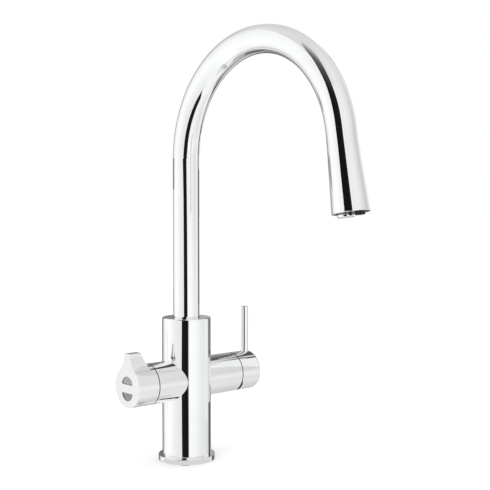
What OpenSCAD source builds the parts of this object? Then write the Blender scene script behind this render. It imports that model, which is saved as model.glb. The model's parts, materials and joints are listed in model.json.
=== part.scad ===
// Boiling water kitchen tap: deck column, swivelling gooseneck spout,
// boiling/chilled control knob on the left, single-lever mixer on the right.
// Millimetres. Origin: centre of the tap hole on the worktop surface.
// The spout points to -Y, the control knob to -X and the mixer to +X.

/* [Base] */
// Outside diameter of the ring that covers the tap hole
base_ring_d = 58; // [56:0.5:70]
// Height of the base ring
base_ring_h = 5.6; // [4.5:0.1:8]
// Width of the flat sealing gasket under the base ring
gasket_w = 4.8; // [3:0.1:5.2]
// Thickness of the gasket
gasket_h = 1.9; // [1:0.1:2.5]
// Bore of the threaded bush that the hollow fixing shank screws into
shank_bore_d = 33; // [31:0.1:34]
// Length of the threaded bush
shank_bush_h = 28; // [15:0.5:32]

/* [Column] */
// Diameter of the column
column_d = 50; // [49:0.5:56]
// Wall of the column round its water core
column_wall = 4.2; // [3.6:0.1:4.4]
// Rounding of the column's top edge
column_edge_r = 0.9; // [0.3:0.1:1.5]
// Height of the column above the base ring
column_h = 140.6; // [138:0.2:160]
// Height of the two side barrels' shared axis above the base ring
barrel_axis_h = 77.2; // [72:0.2:79]

/* [Side barrels] */
// Diameter of both side barrels
barrel_d = 41; // [40.5:0.1:43]
// Wall of the side barrels
barrel_wall = 2.6; // [2.2:0.1:2.8]
// Distance from the column's axis to the end of the knob barrel
knob_barrel_reach = 48.5; // [48:0.5:56]
// Distance from the column's axis to the end of the mixer barrel
mixer_barrel_reach = 59; // [58.5:0.5:66]

/* [Control knob] */
// Gap between the knob barrel and the knob
knob_gap = 1; // [0.6:0.1:1.6]
// Length of the knob along its axis
knob_len = 24; // [23:0.2:30]
// Height of the knob's fin above its axis
fin_top_h = 33; // [28:0.5:38]
// Width of the fin's flat top
fin_top_w = 9.6; // [7:0.1:14]
// Length of the fin's flat top along the knob's axis
fin_top_len = 13.2; // [8:0.2:18]
// Length of the fin where it meets the round body
fin_root_len = 18; // [14:0.2:22]
// Wall of the knob's face
knob_face_t = 2.5; // [2:0.1:3]
// Wall of the knob's skirt
knob_wall = 2.4; // [1.8:0.1:3]

/* [Push pads] */
// Radius of each half-round push pad
pad_r = 9; // [7.8:0.1:9.6]
// Height of each push pad
pad_h = 7.4; // [6:0.1:7.6]
// Radius of each push pad's two corners
pad_corner_r = 1; // [0.5:0.1:2]
// Clear band between the two pads
pad_band = 8.8; // [7.6:0.1:10]
// How far the middle of the two pads lies below the knob's axis
pad_drop = 1.5; // [0:0.1:2]
// How deep the pads sit below the knob's face
pad_recess = 0.6; // [0.3:0.1:1]
// How far a pad travels when it is pressed
pad_travel = 1.2; // [0.6:0.1:1.4]

/* [Mixing cartridge] */
// Diameter of the mixing cartridge
cartridge_d = 35; // [33:0.5:35.5]
// Thickness of each of the two ceramic discs
disc_t = 4; // [3:0.1:6]
// Length of the nut that holds the cartridge in the barrel
nut_len = 4.9; // [4:0.1:9]

/* [Mixer handle] */
// Gap between the mixer barrel and the mixer cap
mixer_gap = 1; // [0.8:0.1:1.5]
// Length of the mixer cap along its axis
cap_len = 25.2; // [24.5:0.1:30]
// Rounding of the mixer cap's end
cap_edge_r = 2.4; // [0.8:0.1:3.5]
// Diameter of the lever rod
lever_d = 7.8; // [6:0.1:8.4]
// Length of the lever rod above the cap
lever_len = 48.5; // [30:0.5:80]
// Largest tilt of the lever that the cap is cut away for
tilt_angle = 20; // [12:0.5:22]
// Depth of the lever's pivot below the barrel's axis
pivot_drop = 7; // [6.4:0.1:7.4]

/* [Spout] */
// Outside diameter of the spout tube
tube_d = 27; // [26:0.1:28]
// Wall of the spout tube
tube_wall = 1.5; // [1.2:0.1:1.7]
// Height of the bend's centre above the column
bend_centre_h = 161; // [110:1:220]
// Radius of the bend on the tube's centre line
bend_r = 107; // [80:1:130]
// Angle that the tube bends through
bend_angle = 170.5; // [160:0.5:178]
// Straight tube between the bend and the flare
neck_len = 4; // [2:0.5:20]
// Length of the flare above the outlets' carrier
flare_len = 50; // [35:0.5:60]
// Length of the flare's last part, which has a plain bore for the outlets' carrier
collar_len = 18; // [17:0.5:28]
// Diameter of the spout's mouth
mouth_d = 33.2; // [32.8:0.1:36]

/* [Outlets] */
// Diameter of the aerator for mixed water
aerator_d = 15; // [14:0.1:15.4]
// How far the aerator stands out of the mouth
aerator_out = 2.8; // [2:0.1:6]
// Diameter of the filtered water nozzle
nozzle_d = 8.8; // [7.4:0.1:8.8]
// How far the filtered water nozzle stands out of the mouth
nozzle_out = 2.9; // [2:0.1:6]
// Diameter of the tube that carries mixed water
mixed_tube_d = 10; // [8.5:0.1:10]
// Diameter of the tube that carries filtered water
filtered_tube_d = 8; // [7:0.1:8]

/* [Hidden] */
$fn = 96;
eps = 0.01;              // overshoot of a cut
fit = 0.1;               // radial clearance of a turning fit
seat = 0.05;             // radial clearance of pieces that stay put
o_ring_t = 1.8;          // thickness of the small sealing rings
hex_key = 2.5;           // width of the key that turns the small screws
hex_depth = 2.5;         // depth of its recess
seal_wall = 1.1;         // wall of the rubber bushes and rings in the water holes

// Base
bush_foot_d = column_d - 2 * column_wall - 0.8; // the bush's foot, which centres the base ring
base_edge_r = 0.6;       // rounding of the base ring's top edge

// Levels of the column
column_top_z = base_ring_h + column_h;
barrel_z = base_ring_h + barrel_axis_h;
core_bore_d = column_d - 2 * column_wall;
barrel_bore_d = barrel_d - 2 * barrel_wall;
core_d = core_bore_d - 2 * seat;
core_shoulder_h = 5.3;   // casting between the barrels' bore and the swivel socket
core_top_z = barrel_z + barrel_bore_d / 2 + core_shoulder_h;
core_bottom_z = barrel_z - barrel_d / 2 - 0.3;
clamp_h = 6;             // height of the ring that clamps the core
port_d = 8.9;            // minor diameter of the inlet threads
port_thread = 8;         // length of the inlet threads
port_depth = 2;          // how far a union stands in the core
union_d = 12;            // outside of the inlet unions
port_pitch = 14.4;       // side of the square on which the inlets lie
channel_d = 6;           // water channels in the core

// Swivel socket in the column's top
lip_t = 4;               // thickness of the column's top lip
bearing_wall = 3.5;      // wall of the two bearing rings
socket_d = tube_d + 2 * bearing_wall;
socket_clear = 0.35;     // radial gap between the spout tube and the lip
washer_t = 1;            // thrust washer under the ferrule
washer_top_z = core_top_z + washer_t;
ferrule_z = washer_top_z + seat;
ferrule_bore_d = 21;
nipple_d = ferrule_bore_d - 2 * fit;
nipple_h = 10;
nipple_bore_d = 15;
stop_screw_d = 5;
stop_z = washer_top_z + stop_screw_d + 0.5;
tube_bottom_z = stop_z + stop_screw_d + 0.7;
spigot_len = 22;         // how far the ferrule reaches into the spout tube
line_socket = 10;        // how far a water tube enters the ferrule
line_seat = 6;           // how far a water tube enters the outlets' carrier
stub_engage = 9;         // how far the ferrule's stub reaches below the mixed water
stop_pin_d = 3.6;
stop_groove_w = 4.4;
stop_groove_depth = 2;
swivel_limit = 75;       // largest turn of the spout each way, degrees
bearing_foot_z = stop_z + stop_screw_d / 2 + 1.5;
bearing_room = column_top_z - lip_t - bearing_foot_z;
bearing_h = 0.35 * bearing_room;  // two bearing rings with a space between them
tube_bore_d = tube_d - 2 * tube_wall;
line_offset = tube_bore_d / 4; // offset of both water tubes from the spout's centre line
stub_d = 8;              // central stub that carries filtered water through the swivel
stub_bore_d = 5;

// Knob barrel and knob, as distances along -X
knob_back = knob_barrel_reach + knob_gap;
knob_face = knob_back + knob_len;
shaft_d = 12;
shaft_bore_d = 7;
lid_t = 2.5;             // thickness of the bearing plate at the mouth of the knob barrel
housing_len = 22;        // electronics housing, closed by the bearing plate
housing_mouth = knob_barrel_reach - 0.4;
housing_back = housing_mouth - housing_len;
housing_d = barrel_bore_d - 2 * seat;
housing_wall = 1.6;
cable_socket_w = 7.6;    // cable socket on the sensor board: width and height
cable_socket_h = 5.6;
cable_socket_wall = 1;
board_t = 1.6;
board_x = housing_back + housing_wall + 1.4;
shaft_back = board_x + board_t + 1.2;
magnet_len = 3;
magnet_d = 20;
boss_len = 5.5;          // bearing boss on the plate
boss_d = 17;
clip_t = 1;              // clip that holds the shaft in its bearing
clip_x = housing_mouth - boss_len - 0.3;
clip_d = 16;
clip_groove_d = 10.4;
hub_t = 3.5;
face_in = knob_face - knob_face_t;
flange_t = 1;            // rim that keeps a push pad behind the face
pad_gap = 0.25;          // gap round a push pad
spring_len = 3.8;
pad_flange_back = face_in - seat - flange_t;
button_board_x = pad_flange_back - spring_len;
hub_front = button_board_x - board_t - seat;
hub_back = hub_front - hub_t;
hub_boss_back = knob_back + 1;
hub_boss_d = 19;
knob_grub_x = (hub_back + hub_boss_back) / 2;
grub_d = 4.8;
cavity_d = barrel_d - 2 * knob_wall;
switch_w = 4.4;
switch_t = 1.1;
switch_pin = 0.5;        // how far a switch's pin stands out
plunger_d = 3;
pad_spring_d = 7.6;
pad_wire_d = 0.6;
pad_mid_z = pad_band / 2 + pad_h / 2;
pads_z = barrel_z - pad_drop;

// Mixer, as distances along +X
seat_x = column_d / 2;   // floor of the mixer barrel, where the cartridge stands
cartridge_wall = 2.6;
cartridge_floor = 2;
cartridge_lip = 2;
cartridge_bore_d = cartridge_d - 2 * cartridge_wall;
disc_d = cartridge_bore_d - 2 * fit;
disc_x = seat_x + cartridge_floor;
slider_d = 21;
slider_x = disc_x + disc_t + seat;
carrier_x = slider_x + disc_t + seat;
carrier_t = 4.8;
rotor_x = carrier_x + carrier_t + 1;
nut_end = mixer_barrel_reach - 0.1;
cartridge_end = nut_end - nut_len;
rotor_len = cartridge_end - cartridge_lip - fit - rotor_x;
mouth_lip_d = 25;        // opening in the cartridge's front lip
nut_bore_d = 27;
cap_back = mixer_barrel_reach + mixer_gap;
cap_end = cap_back + cap_len;
cap_wall = 2.8;
cap_hollow = 12;         // depth of the hollow in the cap
lever_x = cap_end - lever_d / 2 - 1.7;
lever_in = 14;           // how far the lever rod enters the cap
lever_bottom_z = barrel_z + barrel_d / 2 - lever_in + seat;
stem_d = 9;
stem_end = lever_x - 2.4;
stem_w = 8;              // thickness of the stem's root
pivot_x = rotor_x + rotor_len - 3.4;
pivot_z = barrel_z - pivot_drop;
pivot_pin_d = 3;
stem_eye_r = 3.2;        // eye of the stem round the pivot pin
stem_tip_r = 3;
stem_neck_d = 4.4;
stem_tip_x = carrier_x + stem_tip_r + 1;
slider_travel = (pivot_x - stem_tip_x) * sin(tilt_angle);
slider_rest = -slider_travel / 2;  // the sliding disc's rest place off the axis
wedge_top = -pivot_drop;
wedge_angle = tilt_angle + 2;
grub_x = stem_end - 3.5;
water_hole_d = 6.4;
water_hole_r = 9;
marker_d = 2.4;
marker_depth = 0.8;
marker_angle = 14;       // how far each temperature mark lies off the top

// ---------- shared shapes ----------

// Solid cylinder on the column's axis between two levels
module disc_z(d, z_from, z_to) {
    translate([0, 0, z_from]) cylinder(d = d, h = z_to - z_from);
}

// Ring on the column's axis between two levels
module ring_z(d_out, d_in, z_from, z_to) {
    difference() {
        disc_z(d_out, z_from, z_to);
        disc_z(d_in, z_from - eps, z_to + eps);
    }
}

// Solid cylinder along +X at level z, between two places along X
module rod_x(d, x_from, x_to, z) {
    translate([x_from, 0, z]) rotate([0, 90, 0]) cylinder(d = d, h = x_to - x_from);
}

// Solid cylinder on the barrels' axis between two places along X
module disc_x(d, x_from, x_to) {
    rod_x(d, x_from, x_to, barrel_z);
}

// Ring on the barrels' axis between two places along X
module ring_x(d_out, d_in, x_from, x_to) {
    difference() {
        disc_x(d_out, x_from, x_to);
        disc_x(d_in, x_from - eps, x_to + eps);
    }
}

// Half section of a rod whose far outer corner is rounded
module rounded_section(r, h, edge_r) {
    difference() {
        square([r, h]);
        translate([r - edge_r, h - edge_r]) difference() {
            square(edge_r + 1);
            circle(edge_r);
        }
    }
}

// Upright rod with a rounded top edge
module rounded_rod(d, h, edge_r) {
    rotate_extrude() rounded_section(d / 2, h, edge_r);
}

// Moves a shape drawn along +Z to lie along +X on the barrels' axis, starting at x
module along_x(x) {
    translate([x, 0, barrel_z]) rotate([0, 90, 0]) children();
}

// Extrudes an outline of the Y-Z plane along +X, from x, with its origin at level z
module plate_x(x, t, z = barrel_z) {
    translate([x, 0, z]) rotate([90, 0, 90]) linear_extrude(t) children();
}

// Hexagonal recess of a small screw, overshooting by a little
module hex_recess() {
    translate([0, 0, -eps]) cylinder(d = hex_key / cos(30), h = hex_depth + 2 * eps, $fn = 6);
}

// Sealing ring of round section on the column's axis
module o_ring_z(d_out, z) {
    translate([0, 0, z]) rotate_extrude()
        translate([(d_out - o_ring_t) / 2, 0]) circle(d = o_ring_t, $fn = 48);
}

// Places on the square of four inlets: signs of x and y
INLETS = [[1, 1], [1, -1], [-1, 1], [-1, -1]];

module at_inlets() {
    for (s = INLETS) translate([s.x * port_pitch / 2, s.y * port_pitch / 2, 0]) children();
}

// The three water holes of a 35 mm cartridge, as angles round its axis
WATER_HOLES = [0, 120, 240];

// Holes or plugs in the three water positions, between two places along X
module water_holes(d, x_from, x_to) {
    for (a = WATER_HOLES)
        translate([x_from, water_hole_r * sin(a), barrel_z + water_hole_r * cos(a)])
            rotate([0, 90, 0]) cylinder(d = d, h = x_to - x_from);
}

// Block that starts at x = 0 and is centred in Y and Z
module block_yz(len, w, h) {
    translate([0, -w / 2, -h / 2]) cube([len, w, h]);
}

// A coil round an axis along +X: turns, pitch and mean radius are given
function coil_point(a, r, pitch) = [pitch * a / 360, r * cos(a), r * sin(a)];

function coil_frame(a, r, pitch) =
    let (
        tangent = [pitch / 360, -r * sin(a) * PI / 180, r * cos(a) * PI / 180],
        t = tangent / norm(tangent),
        out = [0, cos(a), sin(a)],
        side = cross(t, out)
    ) [out, side];

module coil(r, pitch, turns, wire_d, steps = 20, sides = 6) {
    rings = turns * steps;
    points = [
        for (i = [0:rings])
            let (a = i * 360 / steps, p = coil_point(a, r, pitch), f = coil_frame(a, r, pitch))
                for (j = [0:sides - 1])
                    p + wire_d / 2 * (f[0] * cos(j * 360 / sides) + f[1] * sin(j * 360 / sides))
    ];
    skin = [
        for (i = [0:rings - 1], j = [0:sides - 1])
            let (a = i * sides + j, b = i * sides + (j + 1) % sides)
                each [[a, b, b + sides], [a, b + sides, a + sides]]
    ];
    start_cap = [for (j = [1:sides - 2]) [0, j + 1, j]];
    end_cap = [for (j = [1:sides - 2]) [rings * sides, rings * sides + j, rings * sides + j + 1]];
    polyhedron(points, concat(skin, start_cap, end_cap));
}

// ---------- base ----------

// Places the gasket midway between the ring's bore and its edge
gasket_mid_d = (base_ring_d + core_bore_d) / 2;

module base_ring() {
    color("gainsboro") difference() {
        rounded_rod(base_ring_d, base_ring_h, base_edge_r);
        disc_z(bush_foot_d + 2 * fit, -eps, base_ring_h + eps);
        ring_z(gasket_mid_d + gasket_w + 2 * seat, gasket_mid_d - gasket_w - 2 * seat, -eps, gasket_h + seat);
    }
}

module base_gasket() {
    color("dimgray") ring_z(gasket_mid_d + gasket_w, gasket_mid_d - gasket_w, 0, gasket_h);
}

// Brass bush in the column's foot: its lower end centres the base ring
module shank_bush() {
    color("goldenrod") difference() {
        union() {
            disc_z(bush_foot_d, 0, base_ring_h);
            disc_z(core_d, base_ring_h, shank_bush_h);
        }
        disc_z(shank_bore_d, -eps, shank_bush_h + eps);
    }
}

// ---------- column ----------

module column_outside() {
    translate([0, 0, base_ring_h]) rounded_rod(column_d, column_h, column_edge_r);
    disc_x(barrel_d, -knob_barrel_reach, 0);
    disc_x(barrel_d, 0, mixer_barrel_reach);
}

module column_bores() {
    disc_z(core_bore_d, base_ring_h - eps, core_top_z);
    disc_z(socket_d, core_top_z - eps, column_top_z - lip_t);
    disc_z(tube_d + 2 * socket_clear, column_top_z - lip_t - eps, column_top_z + eps);
    disc_x(barrel_bore_d, -knob_barrel_reach - eps, 0);
    disc_x(barrel_bore_d, seat_x, mixer_barrel_reach + eps);
    water_holes(water_hole_d, 0, seat_x + eps);
    translate([0, 0, stop_z]) rotate([-90, 0, 0]) cylinder(d = stop_screw_d + 2 * seat, h = column_d);
    temperature_mark(1, marker_d + 2 * seat, marker_depth);
    temperature_mark(-1, marker_d + 2 * seat, marker_depth);
}

module tap_body() {
    color("silver") difference() {
        column_outside();
        column_bores();
    }
}

// Pad on the mixer barrel by its mouth: side 1 lies to the back, -1 to the front
module temperature_mark(side, d, depth) {
    translate([mixer_barrel_reach - 3, 0, barrel_z])
        rotate([-side * marker_angle, 0, 0])
            translate([0, 0, barrel_d / 2 - depth]) cylinder(d = d, h = depth + eps, $fn = 48);
}

module hot_mark() {
    color("firebrick") temperature_mark(1, marker_d, marker_depth - seat);
}

module cold_mark() {
    color("steelblue") temperature_mark(-1, marker_d, marker_depth - seat);
}

// ---------- water core ----------

outlet_z = barrel_z + water_hole_r;
stub_top_z = outlet_z - channel_d / 2 - 1;
stub_seal_z = stub_top_z - 4;
seal_half = o_ring_t / 2 + seat;

// Channels inside the core: mixer feeds, mixer outlet, and the filtered feeds that join on the axis
module core_channels() {
    feed_y = water_hole_r * sin(WATER_HOLES[1]);
    feed_z = barrel_z + water_hole_r * cos(WATER_HOLES[1]);
    join_z = core_bottom_z + union_d;
    inlet = port_pitch / 2;
    at_inlets() disc_z(channel_d, core_bottom_z - eps, join_z);
    at_inlets() disc_z(union_d + 2 * seat, core_bottom_z - eps, core_bottom_z + port_depth);
    for (side = [-1, 1]) {
        translate([inlet, side * inlet, join_z - 1]) cylinder(d = channel_d, h = feed_z - join_z + 1);
        translate([inlet, side * feed_y, feed_z]) rotate([0, 90, 0]) cylinder(d = channel_d, h = core_d);
        translate([-inlet, side * inlet, join_z - 3])
            rotate([0, 90, -side * 45]) cylinder(d = channel_d - 2, h = inlet * sqrt(2));
    }
    translate([0, 0, outlet_z]) rotate([0, 90, 0]) cylinder(d = channel_d, h = core_d);
    disc_z(stub_d + 2 * fit, join_z - 6, core_top_z);
    disc_z(nipple_bore_d, stub_top_z, core_top_z + nipple_h + eps);
}

module water_core() {
    cable_slot_w = 10;
    cable_slot_r = 14;
    cable_slot_top = barrel_z + 12;
    color("goldenrod") difference() {
        union() {
            disc_z(core_d, core_bottom_z, core_top_z);
            disc_z(nipple_d, core_top_z, core_top_z + nipple_h);
        }
        core_channels();
        for (z = NIPPLE_SEALS)
            ring_z(nipple_d + 1, nipple_seal_d - 2 * o_ring_t - 2 * seat, z - seal_half, z + seal_half);
        disc_z(stub_seal_d + 2 * seat, stub_seal_z - seal_half, stub_seal_z + seal_half);
        translate([-column_d, -cable_slot_w / 2, core_bottom_z - eps])
            cube([column_d - cable_slot_r, cable_slot_w, cable_slot_top - core_bottom_z]);
    }
}

// Levels of the two sealing rings on the core's nipple
NIPPLE_SEALS = [core_top_z + 0.3 * nipple_h, core_top_z + 0.7 * nipple_h];

// Outside diameters of the sealing rings on the nipple and round the ferrule's stub
nipple_seal_d = ferrule_bore_d - 2 * seat;
stub_seal_d = stub_d + 2 * seat + 2 * o_ring_t;

module core_seals() {
    color("dimgray") {
        for (z = NIPPLE_SEALS) o_ring_z(nipple_seal_d, z);
        o_ring_z(stub_seal_d, stub_seal_z);
    }
}

module core_clamp_ring() {
    key_w = 5;
    key_depth = 2;
    color("goldenrod") difference() {
        ring_z(core_d, shank_bore_d + 1, core_bottom_z - clamp_h, core_bottom_z);
        for (a = [45, 135]) rotate([0, 0, a])
            translate([-column_d / 2, -key_w / 2, core_bottom_z - clamp_h - eps])
                cube([column_d, key_w, key_depth]);
    }
}

// Unions in the core's underside: a threaded mouth for the hose tail, then a seat with a narrower bore
module inlet_unions() {
    thread_top = core_bottom_z - seat;
    color("gold") at_inlets() {
        ring_z(union_d, port_d, thread_top - port_thread, thread_top);
        ring_z(union_d, channel_d, thread_top - eps, thread_top + port_depth);
    }
}

// Rubber bushes that join the core's channels to the cartridge seat
module transfer_seals() {
    seal_back = seat_x - 6.5;
    color("dimgray") difference() {
        intersection() {
            water_holes(water_hole_d - 2 * seat, seal_back, seat_x - seat);
            difference() {
                disc_x(core_bore_d, 0, seat_x);
                disc_z(core_bore_d, core_bottom_z, core_top_z);
            }
        }
        water_holes(water_hole_d - 2 * seal_wall, 0, seat_x + eps);
    }
}

// ---------- spout swivel ----------

module spout_thrust_washer() {
    color("ivory") ring_z(socket_d - 2 * seat, ferrule_bore_d + 0.6, core_top_z, washer_top_z);
}

module spout_bearing(z) {
    color("ivory") ring_z(socket_d - 2 * seat, tube_d + 2 * fit, z, z + bearing_h);
}

module spout_lower_bearing() {
    spout_bearing(bearing_foot_z);
}

module spout_upper_bearing() {
    spout_bearing(column_top_z - lip_t - bearing_h - seat);
}

// Rear screw: its pin runs in the ferrule's part-round groove and stops the swivel
module spout_stop_screw() {
    head_y = column_d / 2 - 0.6;
    body_y = tube_d / 2 + 0.6;
    pin_y = tube_d / 2 - stop_groove_depth + 0.4;
    color("gray") translate([0, 0, stop_z]) rotate([-90, 0, 0]) difference() {
        union() {
            translate([0, 0, body_y]) cylinder(d = stop_screw_d, h = head_y - body_y);
            translate([0, 0, pin_y]) cylinder(d = stop_pin_d, h = body_y - pin_y + eps);
        }
        translate([0, 0, head_y - hex_depth]) hex_recess();
    }
}

// Half angle of the ferrule's groove: the swivel limit and half the pin
groove_half_angle = swivel_limit + asin((stop_pin_d / 2 + 0.2) / (tube_d / 2 - stop_groove_depth));

module spout_ferrule() {
    spigot_d = tube_bore_d - 2 * seat;
    spigot_top = tube_bottom_z + spigot_len;
    chamber_top = core_top_z + nipple_h + 1.5;
    stub_bottom = stub_top_z - stub_engage;
    bridge_z = chamber_top + 4;
    mixed_bore_d = mixed_tube_d - 4;
    color("goldenrod") difference() {
        union() {
            difference() {
                union() {
                    disc_z(tube_d, ferrule_z, tube_bottom_z);
                    disc_z(spigot_d, tube_bottom_z - eps, spigot_top);
                }
                disc_z(ferrule_bore_d, ferrule_z - eps, chamber_top);
            }
            disc_z(stub_d, stub_bottom, chamber_top + eps);
        }
        disc_z(stub_bore_d, stub_bottom - eps, bridge_z);
        translate([0, line_offset, bridge_z - 4]) disc_z(stub_bore_d, 0, spigot_top - bridge_z + 5);
        translate([0, 0, bridge_z - 3]) rotate([-90, 0, 0]) cylinder(d = stub_bore_d - 1, h = line_offset);
        translate([0, -line_offset, 0]) disc_z(mixed_bore_d, chamber_top - eps, spigot_top);
        translate([0, 0, spigot_top - line_socket]) {
            translate([0, line_offset, 0]) disc_z(filtered_tube_d + 2 * seat, 0, line_socket + 1);
            translate([0, -line_offset, 0]) disc_z(mixed_tube_d + 2 * seat, 0, line_socket + 1);
        }
        rotate([0, 0, 90 - groove_half_angle]) rotate_extrude(angle = 2 * groove_half_angle)
            translate([tube_d / 2 - stop_groove_depth, stop_z - stop_groove_w / 2])
                square([stop_groove_depth + 1, stop_groove_w]);
    }
}

// ---------- spout ----------

bend_z = column_top_z + bend_centre_h;
taper_len = flare_len + collar_len;
head_len = neck_len + taper_len;
mouth_wall = 1.8;
mouth_edge_r = 0.5;
collar_bore_d = mouth_d - 2 * mouth_wall;

// Puts a shape drawn along +Z from the bend's end: +Y of the shape lies on the outer side of the bend
module at_bend_end() {
    translate([0, -bend_r, bend_z]) rotate([bend_angle, 0, 0]) translate([0, bend_r, 0]) children();
}

// A pipe that follows the bend, offset from its centre line towards the outer side
module bend_pipe(d_out, d_in, offset_out) {
    translate([0, -bend_r, bend_z]) rotate([90, 0, 90])
        rotate_extrude(angle = bend_angle) translate([bend_r + offset_out, 0]) difference() {
            circle(d = d_out);
            circle(d = d_in);
        }
}

// A straight pipe along +Z, offset along Y
module pipe_z(d_out, d_in, offset_out, z_from, z_to) {
    translate([0, offset_out, z_from]) difference() {
        cylinder(d = d_out, h = z_to - z_from);
        translate([0, 0, -eps]) cylinder(d = d_in, h = z_to - z_from + 2 * eps);
    }
}

// A straight run starts a little inside the bend's wall, and is thinner by this much on each side
lap = 1;
lap_step = 0.05;

// How far the flare has opened, 0 to 1, a share t of the way down: a curve eases into a straight taper
flare_ease = 0.2;
function flare_open(t) =
    (t < flare_ease ? t * t / (2 * flare_ease) : t - flare_ease / 2) / (1 - flare_ease / 2);

// Radius of the head's outside a share t of the way down the flare
function flare_r(t) = tube_d / 2 - lap_step + ((mouth_d - tube_d) / 2 + lap_step) * flare_open(t);

// Point of the mouth's rounded outer edge at angle a from the side
function mouth_edge(a) =
    [mouth_d / 2 - mouth_edge_r * (1 - cos(a)), head_len - mouth_edge_r * (1 - sin(a))];

// Outline of the head's wall in half section: outside of neck and flare, rounded lip, then the bore back up
ease_steps = 8;
FLARE_SHARES = concat([for (i = [0:ease_steps]) flare_ease * i / ease_steps], [1 - mouth_edge_r / taper_len]);
HEAD_WALL = concat(
    [[tube_d / 2 - lap_step, -lap]],
    [for (t = FLARE_SHARES) [flare_r(t), neck_len + taper_len * t]],
    [for (a = [15:15:90]) mouth_edge(a)],
    [
        [collar_bore_d / 2, head_len],
        [collar_bore_d / 2, neck_len + flare_len],
        [tube_bore_d / 2 + lap_step, neck_len],
        [tube_bore_d / 2 + lap_step, -lap],
    ]
);

module spout_tube() {
    color("silver") {
        pipe_z(tube_d, tube_bore_d, 0, tube_bottom_z, bend_z);
        bend_pipe(tube_d, tube_bore_d, 0);
        at_bend_end() rotate_extrude() polygon(HEAD_WALL);
    }
}

// A water tube that starts in the ferrule and ends in the outlet carrier
module water_line(d, offset_out) {
    start_z = tube_bottom_z + spigot_len - line_socket + seat;
    end_s = neck_len + flare_len + line_seat;
    wall = 1.2;
    pipe_z(d, d - 2 * wall, offset_out, start_z, bend_z);
    bend_pipe(d, d - 2 * wall, offset_out);
    at_bend_end() pipe_z(d - 2 * lap_step, d - 2 * wall + 2 * lap_step, offset_out, -lap, end_s);
}

module mixed_water_tube() {
    color("whitesmoke") water_line(mixed_tube_d, -line_offset);
}

module filtered_water_tube() {
    color("lightsteelblue") water_line(filtered_tube_d, line_offset);
}

// ---------- outlets ----------

nozzle_offset = collar_bore_d / 2 - nozzle_d / 2 - 0.4;
nozzle_neck_d = nozzle_d - 1.4;
nozzle_bore_d = 4;
aerator_neck_d = aerator_d - 1.6;
carrier_s = neck_len + flare_len + seat;
carrier_end = head_len - 0.8;
outlet_in = 6;           // how far the aerator and the nozzle enter the carrier

// Bore along the spout's centre line, offset towards its outer side, from place s on
module outlet_bore(d, offset_out, s, len) {
    translate([0, offset_out, s]) cylinder(d = d, h = len);
}

module outlet_carrier() {
    bridge_s = carrier_s + line_seat + 1; // channel that leads the filtered water out to its nozzle
    bridge_d = nozzle_bore_d - 0.6;
    color("dimgray") at_bend_end() difference() {
        outlet_bore(collar_bore_d - 2 * seat, 0, carrier_s, carrier_end - carrier_s);
        outlet_bore(mixed_tube_d + 2 * seat, -line_offset, carrier_s - eps, line_seat + 2 * seat);
        outlet_bore(filtered_tube_d + 2 * seat, line_offset, carrier_s - eps, line_seat + 2 * seat);
        outlet_bore(mixed_tube_d - 3, -line_offset, carrier_s, collar_len);
        outlet_bore(aerator_neck_d + 2 * seat, -line_offset, carrier_end - outlet_in, outlet_in + 1);
        outlet_bore(nozzle_bore_d, line_offset, carrier_s, line_seat + 3);
        translate([0, line_offset, bridge_s])
            rotate([-90, 0, 0]) cylinder(d = bridge_d, h = nozzle_offset - line_offset);
        outlet_bore(nozzle_bore_d, nozzle_offset, bridge_s - bridge_d / 2, collar_len);
        outlet_bore(nozzle_neck_d + 2 * seat, nozzle_offset, carrier_end - outlet_in, outlet_in + 1);
    }
}

aerator_bore_d = aerator_neck_d - 2;

module aerator_housing() {
    edge_r = 0.5;
    color("silver") at_bend_end() translate([0, -line_offset, 0]) difference() {
        union() {
            translate([0, 0, carrier_end - outlet_in + seat]) cylinder(d = aerator_neck_d, h = outlet_in);
            translate([0, 0, carrier_end])
                rounded_rod(aerator_d, head_len + aerator_out - carrier_end, edge_r);
        }
        translate([0, 0, carrier_end - outlet_in])
            cylinder(d = aerator_bore_d, h = outlet_in + aerator_out + 2);
    }
}

// Flow straightener: a disc with rings of small holes
module aerator_screen() {
    screen_t = 2.4;
    hole_d = 1.3;
    recess = 0.5;
    HOLE_RINGS = [[2, 6], [4.1, 12]]; // radius and number of holes of each ring
    color("lightgray") at_bend_end()
        translate([0, -line_offset, head_len + aerator_out - screen_t - recess]) difference() {
            cylinder(d = aerator_bore_d - 2 * seat, h = screen_t);
            for (ring = HOLE_RINGS, i = [0:ring[1] - 1])
                rotate([0, 0, i * 360 / ring[1]])
                    translate([ring[0], 0, -eps]) cylinder(d = hole_d, h = screen_t + 1);
        }
}

module filtered_nozzle() {
    notches = 8;
    notch_w = 0.9;
    notch_depth = 0.35;
    color("black") at_bend_end() translate([0, nozzle_offset, 0]) difference() {
        union() {
            translate([0, 0, carrier_end - outlet_in + seat]) cylinder(d = nozzle_neck_d, h = outlet_in);
            translate([0, 0, carrier_end]) cylinder(d = nozzle_d, h = head_len + nozzle_out - carrier_end);
        }
        translate([0, 0, carrier_end - outlet_in])
            cylinder(d = nozzle_bore_d, h = outlet_in + nozzle_out + 2);
        for (i = [0:notches - 1]) rotate([0, 0, i * 360 / notches])
            translate([nozzle_d / 2 - notch_depth, -notch_w / 2, head_len + 0.6])
                cube([1, notch_w, nozzle_out]);
    }
}

// ---------- control knob: fixed pieces ----------

module control_housing() {
    color("dimgray") difference() {
        disc_x(housing_d, -housing_mouth, -housing_back);
        disc_x(housing_d - 2 * housing_wall, -housing_mouth - eps, -housing_back - housing_wall);
        translate([-housing_back - housing_wall - 1, 0, barrel_z])
            block_yz(housing_wall + 2, cable_socket_w + 0.4, cable_socket_h + 0.4);
    }
}

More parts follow.
